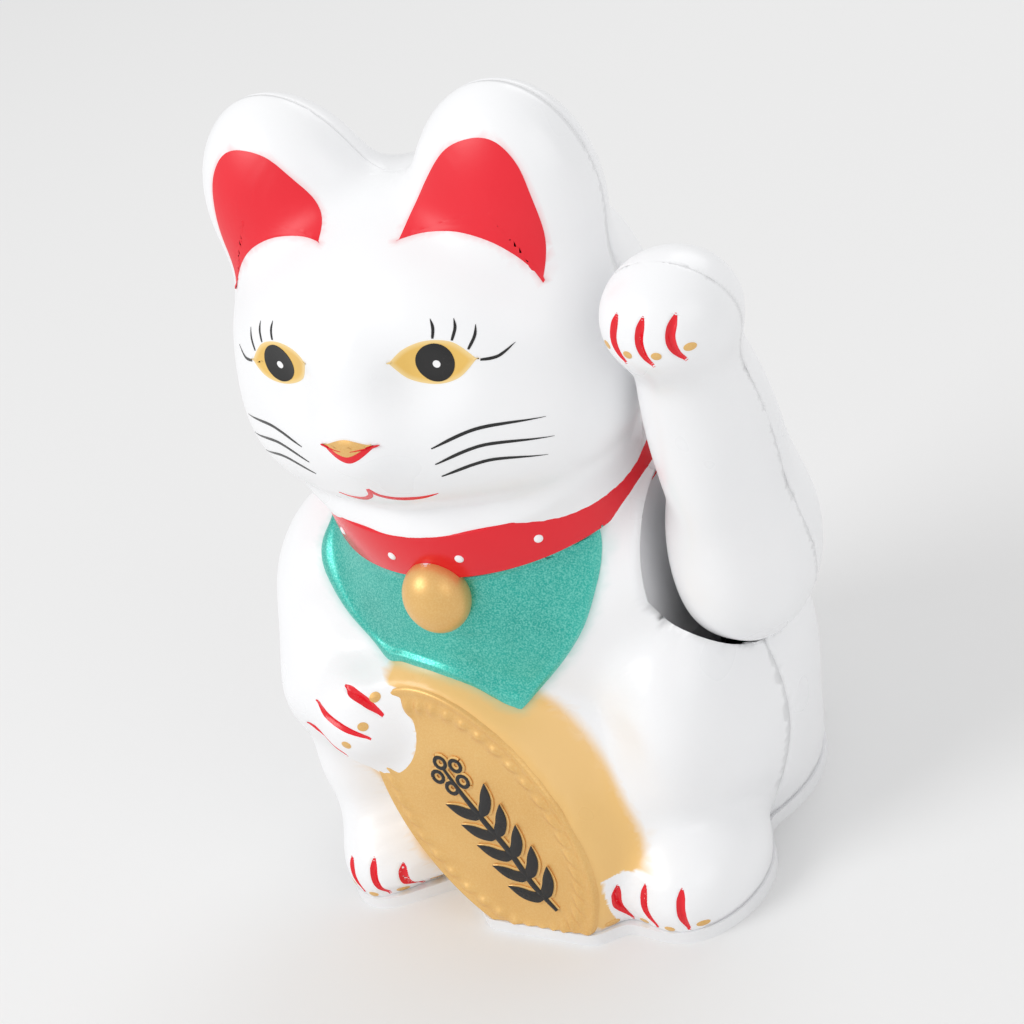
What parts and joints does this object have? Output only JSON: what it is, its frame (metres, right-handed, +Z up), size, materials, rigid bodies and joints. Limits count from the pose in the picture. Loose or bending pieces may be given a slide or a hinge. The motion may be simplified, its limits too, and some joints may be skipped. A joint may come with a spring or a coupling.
{
  "type": "beckoning cat figurine",
  "caption": "Sitting cat figurine with a raised left arm that swings from a battery-driven pendulum, an oval plaque held at the belly, a collar with a bell and a bib.",
  "frame": {"origin": "middle of the flat underside, on the surface that the figure stands on", "axes": "+Z up along the figure's height, the cat faces -Y, and its raised left arm is on +X"},
  "size_m": [0.1475, 0.1084, 0.1961],
  "materials": {
    "white_shell": "gloss",
    "white_base": "satin",
    "inner_plastic": "satin",
    "black_plastic": "satin",
    "steel": "satin",
    "ferrite": "matte",
    "cell_wrap": "satin",
    "board": "matte",
    "component_black": "satin",
    "copper": "satin",
    "red_insulation": "satin",
    "black_insulation": "satin",
    "collar_red": "gloss",
    "red_paint": "satin",
    "teal_paint": "gloss",
    "gold_paint": "satin",
    "black_paint": "satin",
    "white_paint": "gloss"
  },
  "bodies": {
    "root": {"front_shell": "white_shell", "rear_shell": "white_shell", "base_plate": "white_base", "swing_frame": "inner_plastic", "base_screws": "steel", "frame_screws": "steel", "board_screw": "steel", "battery_cells": "cell_wrap", "contact_springs": "steel", "contact_plates": "steel", "contact_bridge": "steel", "circuit_board": "board", "board_components": "component_black", "coil_bobbin": "inner_plastic", "drive_coil": "copper", "switch_housing": "black_plastic", "red_lead": "red_insulation", "black_lead": "black_insulation", "switch_leads": "black_insulation"},
    "arm": {"arm_front_half": "white_shell", "arm_rear_half": "white_shell", "axle": "steel", "axle_rings": "inner_plastic", "pendulum_lever": "inner_plastic", "counterweight": "steel", "magnet": "ferrite"},
    "battery_door": {"battery_door": "white_base"},
    "switch": {"switch_slider": "black_plastic"}
  },
  "joints": [
    {"name": "arm_swing", "type": "hinge", "parent": "root", "child": "arm", "pos_m": [0.0588, -0.009, 0.078], "axis": [1, 0, 0], "range_deg": [-12, 14]},
    {"name": "battery_door_slide", "type": "slide", "parent": "root", "child": "battery_door", "axis": [0, 1, 0], "range_m": [0, 0.045]},
    {"name": "power_switch", "type": "slide", "parent": "root", "child": "switch", "axis": [1, 0, 0], "range_m": [0, 0.003]}
  ]
}
